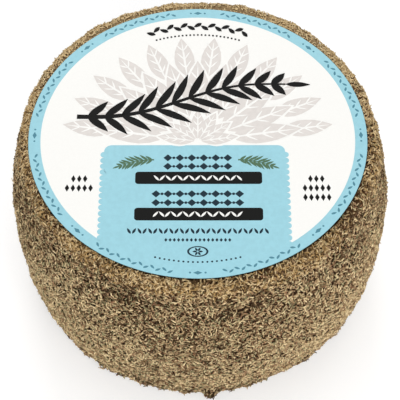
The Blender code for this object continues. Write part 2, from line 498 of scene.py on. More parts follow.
def build_leaf_tone(name):
    """Leaf colour from the leaf's own map, whose U is the tone and whose V runs along the leaf.

    Fine grain runs along the leaf, and its cut ends are browner.
    """
    inputs = [
        ("Vector", "Leaf Map", None),
        ("Color", "Deep", (0.05, 0.03, 0.01, 1.0)),
        ("Color", "Middle", (0.3, 0.2, 0.1, 1.0)),
        ("Color", "Pale", (0.6, 0.5, 0.3, 1.0)),
        ("Color", "Cut End", (0.1, 0.06, 0.03, 1.0)),
        ("Float", "Grain", 0.12),
    ]
    outputs = [("Color", "Color"), ("Float", "Height"), ("Float", "Roughness")]
    tree, given, out = new_group(name, inputs, outputs)
    split = add_node(tree, "SeparateXYZ", Vector=given.outputs["Leaf Map"])
    tone, along = split.outputs["X"], split.outputs["Y"]
    stretched = add_node(tree, "Mapping", Vector=given.outputs["Leaf Map"], Scale=(260.0, 5.0, 1.0))
    grain = add_node(tree, "TexNoise", Vector=stretched.outputs["Vector"], Scale=1.0, Detail=2.0)
    centred = calculate(tree, "SUBTRACT", grain.outputs["Fac"], 0.5)
    shifted = calculate(tree, "ADD", tone, calculate(tree, "MULTIPLY", centred, given.outputs["Grain"]))
    to_middle = ramp_between(tree, shifted, 0.0, 0.5)
    to_pale = ramp_between(tree, shifted, 0.45, 1.0)
    lower = mix_colours(tree, to_middle, given.outputs["Deep"], given.outputs["Middle"])
    body = mix_colours(tree, to_pale, lower, given.outputs["Pale"])
    from_middle = calculate(tree, "ABSOLUTE", calculate(tree, "SUBTRACT", along, 0.5))
    end = calculate(tree, "MULTIPLY", ramp_between(tree, from_middle, 0.36, 0.5), 0.55)
    feed(tree, out.inputs["Color"], mix_colours(tree, end, body, given.outputs["Cut End"]))
    feed(tree, out.inputs["Height"], grain.outputs["Fac"])
    feed(tree, out.inputs["Roughness"], calculate(tree, "MULTIPLY_ADD", centred, 0.3, 0.74))
    return tree


def build_mottle(name):
    """Two colours mixed by soft noise, with a height that follows it."""
    inputs = [
        ("Vector", "Vector", None),
        ("Float", "Scale", 100.0),
        ("Float", "Detail", 4.0),
        ("Color", "First", (0.5, 0.5, 0.5, 1.0)),
        ("Color", "Second", (0.6, 0.6, 0.6, 1.0)),
        ("Float", "Low", 0.3),
        ("Float", "High", 0.7),
    ]
    tree, given, out = new_group(name, inputs, [("Color", "Color"), ("Float", "Height")])
    cloud = add_node(tree, "TexNoise", **{key: given.outputs[key] for key in ("Vector", "Scale", "Detail")})
    mask = ramp_between(tree, cloud.outputs["Fac"], given.outputs["Low"], given.outputs["High"])
    feed(tree, out.inputs["Color"], mix_colours(tree, mask, given.outputs["First"], given.outputs["Second"]))
    feed(tree, out.inputs["Height"], cloud.outputs["Fac"])
    return tree


def place_group(tree, name, build, **inputs):
    """A node of the shared group of that name, which is built the first time."""
    group = bpy.data.node_groups.get(name) or build(name)
    return add_node(tree, "Group", {"node_tree": group}, **inputs)


def mottled(tree, place, scale, tint, darkest, lightest):
    """A node that varies a tint softly between two factors of it."""
    shades = {"First": rgba(tint, darkest), "Second": rgba(tint, lightest)}
    return place_group(tree, "mottle", build_mottle, Vector=place, Scale=scale, **shades)


def new_material(name, roughness, specular):
    """A material with a Principled shader, its tree and that shader."""
    made = bpy.data.materials.new(name)
    made.use_nodes = True
    shader = made.node_tree.nodes["Principled BSDF"]
    shader.inputs["Roughness"].default_value = roughness
    shader.inputs["Specular IOR Level"].default_value = specular
    return made, made.node_tree, shader


def dress(tree, shader, tint, height, strength, depth):
    """Gives a shader its colour and fine relief."""
    feed(tree, shader.inputs["Base Color"], tint)
    bump = add_node(tree, "Bump", Height=height, Strength=strength, Distance=depth)
    feed(tree, shader.inputs["Normal"], bump.outputs["Normal"])


# The crust under the leaves

CRUST_AROUND = 300
CRUST_FINE = 3.4 * MM
CRUST_FLOOR = 0.5 * MM
CRUST_UNDER_LABEL = 0.35 * MM
GROOVE_STATIONS = (-2.6 * MM, -1.4 * MM, 0.6 * MM, 1.6 * MM)  # outwards from the label's edge
GROOVE_FLOOR = 1.6 * MM
SHALLOW_STRIP = 0.75  # how much nearer the skin the crust lies beside the label at the back
WARM_CRUST = (13 * MM, 4 * MM)  # below the top, where the warm crust of the rim begins and where it is full
PALE_CRUST = (20 * MM, 75 * MM)  # behind the middle, where the painted light that makes the crust paler begins and where it is full
CRUST_STEP = 1.9 * MM
CRUST_STEP_AT_LABEL = 0.8 * MM
CRUST_STEPS_TOP = 10
CRUST_STEPS_UNDER = 26
HARDLY = 0.01 * MM  # nearer than this to a flat face counts as on it


def crust_material(leaves, wheel):
    """Dark crumbly crust, partly painted shade in the gaps between the leaves; warmer and lighter at the rim,
    where the golden leaves lie, and painted paler behind, as painted light.
    """
    made, tree, shader = new_material("dark_crumbly_crust", 0.9, 0.2)
    place = add_node(tree, "TexCoord").outputs["Object"]
    split = add_node(tree, "SeparateXYZ", Vector=place)
    at_rim = ramp_between(tree, split.outputs["Z"], *(wheel.height - depth for depth in WARM_CRUST))
    # Painted light: the crust is painted paler behind the middle, on the back of the rim.
    at_back = ramp_between(tree, split.outputs["Y"], *PALE_CRUST)
    dark = mottled(tree, place, 620.0, leaves.crust, 0.45, 1.35)
    warm = mottled(tree, place, 540.0, leaves.crust_rim, 0.5, 1.3)
    rim = mix_colours(tree, at_back, warm.outputs["Color"], rgba(leaves.crust_painted_light_behind))
    both = mix_colours(tree, at_rim, dark.outputs["Color"], rim)
    dress(tree, shader, both, dark.outputs["Height"], 0.8, 0.4 * MM)
    return made


class CHEESE_OT_under_crust(bpy.types.Operator):
    """Make the wheel's crumbly crust, which shows dark between the leaves; its dark colour is partly painted
    shade in those gaps
    """

    bl_idname = "cheese.under_crust"
    bl_label = "Crust under the leaves"
    bl_options = {"REGISTER", "UNDO"}

    def execute(self, context):
        scene = context.scene
        wheel = scene.cheese_wheel
        skin = Skin(wheel, scene.cheese_label.radius)
        shape = turned_shape(list(zip(*skin.section(self.stations(skin)))), CRUST_AROUND)
        self.crumble(shape, skin, wheel)
        piece = object_from(shape, "under_crust")
        finish_piece(piece, crust_material(scene.cheese_leaves, wheel), COAT_SLOT, WHEEL_NODE)
        return {"FINISHED"}

    def stations(self, skin):
        """Distances along the section: wide steps on the flat faces and fine ones between them."""
        fine_from = skin.pressed_radius - 5 * MM
        fine_to = skin.foot() + 3 * MM
        finest = np.arange(fine_from, skin.pressed_radius + 1.5 * MM, CRUST_STEP_AT_LABEL)
        fine = np.arange(finest[-1] + CRUST_STEP, fine_to, CRUST_STEP)
        top = np.linspace(0.0, fine_from, CRUST_STEPS_TOP)[:-1]
        under = np.linspace(fine_to, skin.total(), CRUST_STEPS_UNDER)
        return np.concatenate((top, finest, fine, under))

    def crumble(self, shape, skin, wheel):
        """Moves the turned surface to lie under the skin, with its bumps and crumbs."""
        shape.normal_update()
        drops = (CRUST_UNDER_LABEL, GROOVE_FLOOR, GROOVE_FLOOR, wheel.crust_depth)
        for corner in shape.verts:
            place = corner.co.copy()
            normal = corner.normal.copy()
            radius = math.hypot(place.x, place.y)
            height = place.z / wheel.height
            azimuth = math.degrees(math.atan2(place.x, -place.y))
            crumb = wheel.crust_crumb * noise.noise(place / CRUST_FINE)
            crumb += 0.5 * wheel.crust_crumb * noise.noise(place / (CRUST_FINE * 0.45))
            drop = wheel.crust_depth * (1 - SHALLOW_STRIP * float(pale_strip_at(azimuth, height)))
            if place.z > wheel.height / 2:
                groove = float(np.interp(past_label(azimuth, radius), GROOVE_STATIONS, drops))
                drop = min(groove, drop + (GROOVE_FLOOR - wheel.crust_depth) * float(groove_at(azimuth)))
            if place.z > wheel.height - HARDLY and radius < skin.pressed_radius:
                corner.co = place - normal * drop
            elif place.z < HARDLY:
                corner.co = (place.x, place.y, CRUST_FLOOR + 0.5 * (crumb + wheel.crust_crumb))
            else:
                out = Vector((place.x, place.y, 0.0)).normalized() * float(unevenness(azimuth, height))
                bump = wheel.coat_bump * noise.noise(place / wheel.coat_bump_spacing)
                corner.co = place + out + normal * (bump + crumb - drop)
                corner.co.z = max(corner.co.z, CRUST_FLOOR)


# The dried rosemary leaves


class LeafKind(NamedTuple):
    """One kind of scattered leaf: its outline, sizes as shares of the usual leaf's, and where it lies."""

    name: str
    tint: str  # the setting of its usual colour
    paleness: float  # how near its palest leaves come to the pale colour
    widths: tuple  # share of the full width at even stations along the leaf
    length: float
    width: float
    thickness: float
    bend: float
    arch: float
    lift: float  # how far its middle lies over the skin, in metres
    strip: float  # how thickly it lies beside the label, on the side and under the wheel
    side: float
    under: float


LEAF_SIDES = 3
SWOLLEN = (0.8, 1.0, 0.7)
LEAF_KINDS = (
    LeafKind("cut_leaves", "tan", 0.8, (1.0, 0.8), 1.0, 1.0, 1.0, 0.0, 0.0, 0.0, 0.7, 1.0, 0.3),
    LeafKind("brown_leaves", "brown", 0.55, (0.9, 0.85), 0.95, 1.0, 1.0, 0.0, 0.0, -0.2 * MM, 0.7, 1.0, 0.3),
    LeafKind("olive_leaves", "olive", 0.7, (1.0, 0.8), 1.05, 1.0, 0.9, 0.0, 0.0, -0.1 * MM, 0.4, 1.0, 0.3),
    LeafKind("curled_leaves", "tan", 1.0, SWOLLEN, 1.2, 1.0, 1.0, 0.14, 0.06, 0.1 * MM, 1.0, 1.0, 0.2),
)
GOLDEN_LEAF = LeafKind(
    "golden_leaves", "golden", 0.7, SWOLLEN, 1.25, 1.1, 1.1, 0.1, 0.04, 0.05 * MM, 1.0, 0.0, 0.0
)
CRUMB = LeafKind("leaf_crumbs", "brown", 0.8, (0.9, 0.7), 0.3, 1.0, 1.2, 0.0, 0.0, -0.1 * MM, 0.8, 1.0, 0.4)

# Share of the leaves that is missing at a local form
BARE_AT = ((CREASE, 0.45), (HOLLOW_LEFT, 0.20), (CLUMP, 0.6))
# How much paler the leaves are at a local form, or darker where it is less than 0: painted shade in the
# crease, the hollow and the clump, painted light at the pale places
PALER_AT = ((CREASE, -0.34), (HOLLOW_LEFT, -0.20), (PALE_RIGHT, 0.20), (PALE_LEFT, 0.14), (CLUMP, -0.30))

FEWER_AT = {"brown_leaves": GREENER_LEFT, "olive_leaves": WARMER_RIGHT}
FEWER_LEAVES = 0.5  # share of those leaves that is left out there
STRIP_START = 0.5 * MM  # how far under the label's edge the leaves of the top begin
PATCH_SPACING = 14 * MM
FOOT_SHADE_HEIGHT = 0.115  # share of the height, near which the painted shadow of the foot fades out
LEAF_TILT = 16  # usual lean out of the skin, in degrees
LEAF_ROLL = 28  # usual turn about the leaf's own length, in degrees
STANDING_TILT = (15, 36)
STANDING_LIFT = 0.35  # how far a standing leaf is lifted, as a share of its rise
LENGTH_VARIES = (0.2, 0.55, 1.5)  # usual spread, least and most
WIDTH_VARIES = (0.14, 0.65, 1.4)
THICKNESS_RANGE = (0.8, 1.2)
FOOT_ROUGH_HEIGHT = 0.12  # share of the height, below which more leaves stand out
FOOT_ROUGHER = 12
UNDER_LEAF_LIFT = 0.32 * MM
LEAF_FLOOR = 0.02 * MM
LABEL_CLEARANCE = 0.04 * MM
LABEL_MARGIN = 0.3 * MM  # leaves stay below the label as far as this beyond its edge
GROOVE_DEPTH = 0.6 * MM  # the leaves lie lower beside the label's edge
GROOVE_WIDTH = 2.2 * MM
GROOVE_BARE = 0.5 * MM  # next to the edge there are hardly any
GROOVE_THINNING = 0.85
GROOVE_SPREAD = 2.2  # the larger, the further round the wheel the groove is open
GROOVE_CLOSED = 0.1
GOLDEN_PATCH = 22 * MM
GOLDEN_PATCHINESS = 0.9
GOLDEN_SHARE = (0.6, 0.35)  # usual share of golden leaves, and how much it rises and falls round the rim
GOLDEN_MIDDLE = -35  # azimuth where the golden leaves lie thickest, in degrees
LEAF_TOP = 0.35 * MM  # how far over the skin the upper leaves lie
LEAF_DEPTH = 1.05 * MM  # how far below those the lowest leaves lie
CLUMP_LEAVES = 22  # of each kind
CLUMP_SPREAD = 1.7  # to each side, in degrees
CLUMP_RISE = (4 * MM, 13 * MM)  # how far up from the underside it reaches
CLUMP_LIFT = 0.9 * MM
CLUMP_STANDING = 0.6  # share of its leaves that stand out
FOOT_TUFTS = 110
TUFT_RISE = (6 * MM, 13 * MM)
TUFT_SPREAD = (0.2, 0.7)  # in degrees
TUFT_HEIGHT = 0.9 * MM
TUFT_LEAVES = 4  # a tuft has fewer than this of each kind
DEPTH_SHADE = 0.36  # painted shade: how much darker the lowest leaves are
PALE_STRIP = 0.62  # painted light: how much paler the leaves beside the label are at the back
PALE_STRIP_FROM = 0.82  # share of the height, and how soon above it the strip is palest
PALE_STRIP_FADE = 0.08
PALE_STRIP_CLOSER = 0.5  # how much of the depth between its leaves is lost there
PATCH_SHADES = (0.16, 0.10)  # how much paler or darker the small and the large patches are
PATCH_GROWTH = 2.6  # size of the large patches, in small ones
FOOT_SHADE = 0.34  # painted shadow: how much darker the leaves at the foot are
LOWER_PALER = 0.21  # painted light from the floor: how much paler the side becomes from rim to foot
LOWER_MIDDLE = 0.47  # share of the height at which it is neither paler nor darker
TONE_LIMITS = (0.05, 0.95)
CLUMP_SHADE = 0.15  # painted shade: how much darker the leaves of the clump and the tufts are
HEAP_SPACING = 4.5 * MM
HEAP_RISE = 0.5 * MM  # the leaves lie in small heaps
HEAP_SHADE = 0.22  # painted shade: how much darker the leaves between the heaps are
TONE_RANGE = (0.18, 1.25)  # from dark to pale, before the shades of each place
FAR_SIDE_SHADE = 0.7  # painted shade: how much darker the dark leaves high on the far sides are
FAR_SIDE_DARK = 0.4  # share of the leaves there that are dark


def leaf_prototype(kind):
    """One leaf of unit length, width and thickness, along X with a flat back up: its corners and faces."""
    shape = bmesh.new()
    bmesh.ops.create_circle(shape, cap_ends=True, radius=0.5, segments=LEAF_SIDES)
    upright = Matrix.Rotation(math.radians(90), 3, "Y") @ Matrix.Rotation(math.radians(-90), 3, "Z")
    bmesh.ops.rotate(shape, verts=shape.verts, matrix=upright)
    reach = np.ptp(np.array([corner.co for corner in shape.verts]), axis=0)
    bmesh.ops.scale(shape, verts=shape.verts, vec=(1, 1 / reach[1], 1 / reach[2]))
    bmesh.ops.translate(shape, verts=shape.verts, vec=(-0.5, 0, 0))
    bmesh.ops.scale(shape, verts=shape.verts, vec=(1, kind.widths[0], kind.widths[0]))
    first_cap = shape.faces[:]
    cap = first_cap
    for before, after in zip(kind.widths, kind.widths[1:]):
        grown = bmesh.ops.extrude_face_region(shape, geom=cap)["geom"]
        if cap is not first_cap:
            bmesh.ops.delete(shape, geom=cap, context="FACES_ONLY")
        corners = [item for item in grown if isinstance(item, bmesh.types.BMVert)]
        cap = [item for item in grown if isinstance(item, bmesh.types.BMFace)]
        bmesh.ops.translate(shape, verts=corners, vec=(1 / (len(kind.widths) - 1), 0, 0))
        bmesh.ops.scale(shape, verts=corners, vec=(1, after / before, after / before))
    bmesh.ops.recalc_face_normals(shape, faces=shape.faces)
    shape.verts.index_update()
    corners = np.array([corner.co for corner in shape.verts])
    faces = [[corner.index for corner in face.verts] for face in shape.faces]
    shape.free()
    return corners, faces


class Scatter:
    """Even, slightly disturbed places on the skin for one kind of leaf."""

    STATIONS = 4000
    DISTURBED = 0.012  # usual shift round the wheel, in radians

    def __init__(self, kind, skin, count, draw):
        fine = np.linspace(0.0, skin.total(), self.STATIONS)
        middle = (fine[1:] + fine[:-1]) / 2
        weight = 2 * math.pi * skin.section(middle)[0] * np.diff(fine) * self.density(kind, skin, middle)
        heaped = np.concatenate(([0.0], np.cumsum(weight)))
        order = (np.arange(count) + draw.random(count)) / count
        self.along = np.interp(order * heaped[-1], heaped, fine)
        turns = np.arange(count) * GOLDEN_ANGLE + draw.random() * 2 * math.pi
        self.azimuth = np.degrees(turns + draw.normal(0.0, self.DISTURBED, count)) % 360
        radius, height = skin.section(self.along)
        height = height / skin.wheel.height
        bare = near_any(BARE_AT, self.azimuth, height)
        if kind.name in FEWER_AT:
            bare += FEWER_LEAVES * nearness(FEWER_AT[kind.name], self.azimuth, height)
        groove = (height > 0.5) & (past_label(self.azimuth, radius) < GROOVE_BARE * groove_at(self.azimuth))
        keep = draw.random(count) > np.where(groove, GROOVE_THINNING, bare)
        if kind is GOLDEN_LEAF:
            turn = np.radians(self.azimuth)
            x, y = radius * np.sin(turn), radius * np.cos(turn)
            places = np.stack([x, y, height * skin.wheel.height], axis=1)
            usual = GOLDEN_SHARE[0] + GOLDEN_SHARE[1] * np.cos(turn - math.radians(GOLDEN_MIDDLE))
            keep &= draw.random(count) < usual + GOLDEN_PATCHINESS * noise_at(places, GOLDEN_PATCH)
        self.along = self.along[keep]
        self.azimuth = self.azimuth[keep]

    def density(self, kind, skin, along):
        """How thickly the kind lies at distances down the section."""
        rim_end = skin.pressed_radius + skin.wheel.rim_edge * 1.9
        dense = np.interp(along, [rim_end - 2 * MM, rim_end + 5 * MM], [kind.strip, kind.side])
        dense = np.where(along > skin.foot(), kind.under, dense)
        return np.where(along < skin.label_radius - STRIP_START, 0.0, dense)


def label_centre():
    """Middle of the label."""
    return (LABEL_LOW + LABEL_HIGH) / 2


def past_label_edge(x, y):
    """How far a place lies outside the label's edge, seen from above."""
    return np.hypot(x - label_centre().x, y - label_centre().y) - (LABEL_HIGH.x - LABEL_LOW.x) / 2


def past_label(azimuth, radius):
    """How far a place lies outside the label's edge, by its azimuth in degrees and its radius."""
    turn = np.radians(azimuth)
    return past_label_edge(radius * np.sin(turn), -radius * np.cos(turn))


def groove_at(azimuth):
    """How open the groove beside the label is: widest in front, and closed from the sides to the back."""
    return np.clip(GROOVE_SPREAD * np.cos(np.radians(azimuth)) - GROOVE_CLOSED, 0.0, 1.0)


def pale_strip_at(azimuth, height):
    """Where the top's strip of leaves is closer, and painted paler as painted light: at the sides and the
    back, beside the label.
    """
    behind = np.clip(0.5 - np.cos(np.radians(azimuth)), 0.0, 1.0)
    return behind * np.clip((height - PALE_STRIP_FROM) / PALE_STRIP_FADE, 0.0, 1.0)


def tuft_leaves(settings, foot, draw):
    """Azimuths and distances down the section for the leaves of the clump and of the tufts round the foot."""
    places = np.random.default_rng(settings.seed + 3)
    azimuth = [CLUMP_AZIMUTH + draw.uniform(-CLUMP_SPREAD, CLUMP_SPREAD, CLUMP_LEAVES)]
    along = [foot - draw.uniform(*CLUMP_RISE, CLUMP_LEAVES)]
    for tuft in range(FOOT_TUFTS):
        middle = 360 * (tuft + places.random()) / FOOT_TUFTS
        down = foot - places.uniform(*TUFT_RISE)
        spread = places.uniform(*TUFT_SPREAD)
        count = int(places.integers(0, TUFT_LEAVES))
        azimuth.append(middle + draw.normal(0.0, spread, count))
        along.append(down + draw.normal(0.0, TUFT_HEIGHT, count))
    return np.concatenate(azimuth), np.concatenate(along)


def shade_by_place(place, azimuth, height):
    """How much paler or darker the leaves are at a place: random patches, painted shade and painted light at
    local forms, painted light from the floor on the lower side and a painted shadow at the foot.
    """
    small, large = PATCH_SHADES
    patches = small * noise_at(place, PATCH_SPACING)
    patches = patches + large * noise_at(place + 1.0, PATCH_SPACING * PATCH_GROWTH)
    # Painted light from the floor, paler towards the foot and darker above, and a painted shadow at the very
    # foot.
    lower = LOWER_PALER * (LOWER_MIDDLE - height) - FOOT_SHADE * np.exp(-((height / FOOT_SHADE_HEIGHT) ** 2))
    return patches + lower + near_any(PALER_AT, azimuth, height)


def leaf_corners(corners, size, curve, axes, centre):
    """Places of every corner of many leaves.

    size is their length, width and thickness, curve is their bend and arch, and axes are the unit directions
    along, across and out of each leaf.
    """
    long, wide, thick = size
    bend, arch = curve
    x, y, z = corners.T
    bow = x * x * 4 - 1 / 3
    local_x = long[:, None] * x
    local_y = wide[:, None] * y + (bend * long)[:, None] * bow * 0.25
    local_z = thick[:, None] * z - (arch * long)[:, None] * bow * 0.5
    points = centre[:, None, :] + local_x[:, :, None] * axes[0][:, None, :]
    points = points + local_y[:, :, None] * axes[1][:, None, :] + local_z[:, :, None] * axes[2][:, None, :]
    return points.reshape(-1, 3)


def leaf_axes(around, down, normal, spin, tilt, roll):
    """Unit directions along, across and out of leaves that are spun, tilted and rolled on the skin."""
    ahead = np.cos(spin)[:, None] * around + np.sin(spin)[:, None] * down
    beside = np.cross(normal, ahead)
    along = np.cos(tilt)[:, None] * ahead + np.sin(tilt)[:, None] * normal
    back = np.cross(along, beside)
    across = np.cos(roll)[:, None] * beside + np.sin(roll)[:, None] * back
    return along, across, np.cross(along, across)


def varied(draw, total, spread, least, most):
    """Factors near 1 that spread by chance, between a least and a most."""
    return np.clip(draw.normal(1.0, spread, total), least, most)


def scatter_piece(kind, settings, skin, count, draw, tufted=False):
    """A joined mesh of many leaves of one kind, laid on the skin in every direction."""
    spread = Scatter(kind, skin, count, draw)
    foot = skin.foot()
    azimuth, along = spread.azimuth, spread.along
    if tufted:
        tuft_azimuth, tuft_along = tuft_leaves(settings, foot, draw)
        azimuth, along = np.concatenate((azimuth, tuft_azimuth)), np.concatenate((along, tuft_along))
    total = len(azimuth)
    clumped = np.arange(total) >= len(spread.azimuth)
    place, around, down, normal = skin.frames(azimuth, along)
    height = place[:, 2] / skin.wheel.height
    under = along > foot
    spin = draw.uniform(0, 2 * math.pi, total)
    tilt = np.radians(draw.normal(0.0, LEAF_TILT, total))
    roll = np.where(under, 0.0, np.radians(draw.normal(0.0, LEAF_ROLL, total)))
    standing = settings.standing * np.where(height < FOOT_ROUGH_HEIGHT, FOOT_ROUGHER, 1.0)
    stands = (draw.random(total) < standing) | (clumped & (draw.random(total) < CLUMP_STANDING))
    tilt = np.where(stands, np.radians(draw.uniform(*STANDING_TILT, total)), tilt)
    tilt = np.where(under, 0.0, tilt)
    long = settings.leaf_length * kind.length * varied(draw, total, *LENGTH_VARIES)
    wide = settings.leaf_width * kind.width * varied(draw, total, *WIDTH_VARIES)
    thick = settings.leaf_thickness * kind.thickness * draw.uniform(*THICKNESS_RANGE, total)
    bend = draw.normal(0.0, 1.0, total) * kind.bend
    arch = np.abs(draw.normal(0.0, 1.0, total)) * kind.arch
    depth = draw.random(total)
    pale = pale_strip_at(azimuth, height)
    heap = noise_at(place, HEAP_SPACING)
    lift = kind.lift + LEAF_TOP - LEAF_DEPTH * depth * (1 - PALE_STRIP_CLOSER * pale) + HEAP_RISE * heap
    lift = lift + np.where(stands, STANDING_LIFT * long * np.sin(np.abs(tilt)), 0.0)
    lift = lift + np.where(clumped, draw.uniform(0.0, CLUMP_LIFT, total), 0.0)
    lift = np.where(under, UNDER_LEAF_LIFT, lift)
    gap = past_label(azimuth, np.hypot(place[:, 0], place[:, 1]))
    sunk = np.interp(gap, [0.0, GROOVE_WIDTH], [1.0, 0.0]) * groove_at(azimuth) * (height > 0.5)
    lift = lift - GROOVE_DEPTH * sunk

    corners, faces = leaf_prototype(kind)
    axes = leaf_axes(around, down, normal, spin, tilt, roll)
    centre = place + normal * lift[:, None]
    points = leaf_corners(corners, (long, wide, thick), (bend, arch), axes, centre)
    points[:, 2] = np.maximum(points[:, 2], LEAF_FLOOR)
    under_label = past_label_edge(points[:, 0], points[:, 1]) < LABEL_MARGIN
    ceiling = np.where(under_label, LABEL_LOW.z - LABEL_CLEARANCE, 1.0)
    points[:, 2] = np.minimum(points[:, 2], ceiling)

    # Besides each leaf's own random tone, the tone holds painted shade and painted light: deeper leaves and
    # leaves between heaps darker, the strip at the back paler, the shades of each place, dark leaves high on
    # the far sides and darker leaves in the clump and the tufts.
    tone = draw.uniform(*TONE_RANGE, total) - DEPTH_SHADE * depth + PALE_STRIP * pale + HEAP_SHADE * heap
    tone = tone + shade_by_place(place, azimuth, height)
    far_side = nearness(DARK_RIGHT, azimuth, height) + nearness(DARK_LEFT, azimuth, height)
    tone = tone - FAR_SIDE_SHADE * far_side * (draw.random(total) < FAR_SIDE_DARK)
    tone = np.clip(tone - np.where(clumped, CLUMP_SHADE, 0.0), *TONE_LIMITS)
    mesh = joined_mesh(kind.name, points, faces, len(corners), total)
    write_leaf_map(mesh, corners, faces, tone)
    mesh.shade_smooth()
    return linked_object(kind.name, mesh)


def joined_mesh(name, points, faces, corner_count, total):
    """A mesh of many copies of one small shape."""
    sizes = np.array([len(face) for face in faces], np.int32)
    flat = np.concatenate([np.array(face, np.int32) for face in faces])
    loops = (flat[None, :] + (np.arange(total, dtype=np.int32) * corner_count)[:, None]).ravel()
    all_sizes = np.tile(sizes, total)
    starts = np.concatenate(([0], np.cumsum(all_sizes)[:-1])).astype(np.int32)
    mesh = bpy.data.meshes.new(name)
    mesh.vertices.add(len(points))
    mesh.vertices.foreach_set("co", points.astype(np.float32).ravel())
    mesh.loops.add(len(loops))
    mesh.loops.foreach_set("vertex_index", loops)
    mesh.polygons.add(len(all_sizes))
    mesh.polygons.foreach_set("loop_start", starts)
    mesh.update(calc_edges=True)
    mesh.validate()
    return mesh


def write_leaf_map(mesh, corners, faces, tone):
    """Gives each leaf its own map: its tone, a little wider across the leaf, and its length."""
    flat = np.concatenate([np.array(face) for face in faces])
    across = corners[flat, 1] * 0.05 + corners[flat, 2] * 0.05
    along = corners[flat, 0] + 0.5
    u = np.clip(tone[:, None] + across[None, :], 0.01, 0.99)
    v = np.broadcast_to(0.02 + 0.96 * along, u.shape)
    layer = mesh.uv_layers.new(name=UV_NAME)
    layer.data.foreach_set("uv", np.stack([u, v], axis=2).astype(np.float32).ravel())


def leaf_material(kind, leaves):
    """Dry leaf, from deep through its usual colour to pale, with a fine grain along it."""
    made, tree, shader = new_material("dried_" + kind.name, 0.75, 0.15)
    middle = getattr(leaves, kind.tint)
    pale = [usual + (palest - usual) * kind.paleness for usual, palest in zip(middle, leaves.pale)]
    tone = place_group(
        tree,
        "leaf_tone",
        build_leaf_tone,
        Leaf_Map=add_node(tree, "UVMap", {"uv_map": UV_NAME}).outputs["UV"],
        Deep=rgba(leaves.deep),
        Middle=rgba(middle),
        Pale=rgba(pale),
        Cut_End=rgba(middle, 0.45),
    )
    feed(tree, shader.inputs["Roughness"], tone.outputs["Roughness"])
    dress(tree, shader, tone.outputs["Color"], tone.outputs["Height"], 0.35, 0.08 * MM)
    return made


def lay_leaves(scene, kinds, seed_step, tufted=False):
    """Lays a piece of leaves for each kind, all from one run of random draws."""
    leaves = scene.cheese_leaves
    skin = Skin(scene.cheese_wheel, scene.cheese_label.radius)
    draw = np.random.default_rng(leaves.seed + seed_step)
    for kind in kinds:
        piece = scatter_piece(kind, leaves, skin, getattr(leaves, kind.name), draw, tufted)
        finish_piece(piece, leaf_material(kind, leaves), COAT_SLOT, WHEEL_NODE)
    return {"FINISHED"}


class CHEESE_OT_leaf_coat(bpy.types.Operator):
    """Lay the chopped rosemary leaves all over the wheel, one piece for each kind"""

    bl_idname = "cheese.leaf_coat"
    bl_label = "Coat of rosemary leaves"
    bl_options = {"REGISTER", "UNDO"}

    def execute(self, context):
        return lay_leaves(context.scene, LEAF_KINDS, 0, tufted=True)


class CHEESE_OT_golden_leaves(bpy.types.Operator):
    """Lay the longer golden leaves on the rim beside the label"""

    bl_idname = "cheese.golden_leaves"
    bl_label = "Golden leaves of the rim"
    bl_options = {"REGISTER", "UNDO"}

    def execute(self, context):
        return lay_leaves(context.scene, (GOLDEN_LEAF,), 1)


class CHEESE_OT_leaf_crumbs(bpy.types.Operator):
    """Fill the gaps between the leaves with broken bits"""

    bl_idname = "cheese.leaf_crumbs"
    bl_label = "Crumbs between the leaves"
    bl_options = {"REGISTER", "UNDO"}

    def execute(self, context):
        return lay_leaves(context.scene, (CRUMB,), 2)


# The paper label

LABEL_AROUND = 192
LABEL_RINGS = 22
PAPER_SINK = 0.08 * MM  # how deep an ink film reaches into the paper
INK_CUT = 7 * MM  # ink follows the paper's waves in steps of this size
INK_STAGGER = 0.0025 * MM
INK_STAGGERS = 6  # after so many shapes the stagger begins again
# Waves of the paper: their share of the height, how many there are round the label, and their phase
PAPER_WAVES = ((0.55, 3, 0.6), (0.3, 5, -1.3), (0.15, 8, 2.2))
BLUE_EDGE = (0.9 * MM, 0.5 * MM)  # inside the paper's edge, where its blue begins and where it is full


def paper_lift(x, y, label):
    """How far the paper lies over its flat place: calm in the middle, slightly wavy towards the edge."""
    reach = min(1.0, math.hypot(x, y) / label.radius)
    turn = math.atan2(y, x)
    wave = sum(rise * math.cos(count * turn + phase) for rise, count, phase in PAPER_WAVES)
    return label.wave * (1 + wave) * reach**4


def lay_on_paper(shape, label):
    """Lifts a flat shape made round the origin to the top of the paper, following its waves."""
    middle = label_centre()
    for corner in shape.verts:
        lift = paper_lift(corner.co.x, corner.co.y, label)
        corner.co = (corner.co.x + middle.x, corner.co.y + middle.y, corner.co.z + LABEL_HIGH.z + lift)


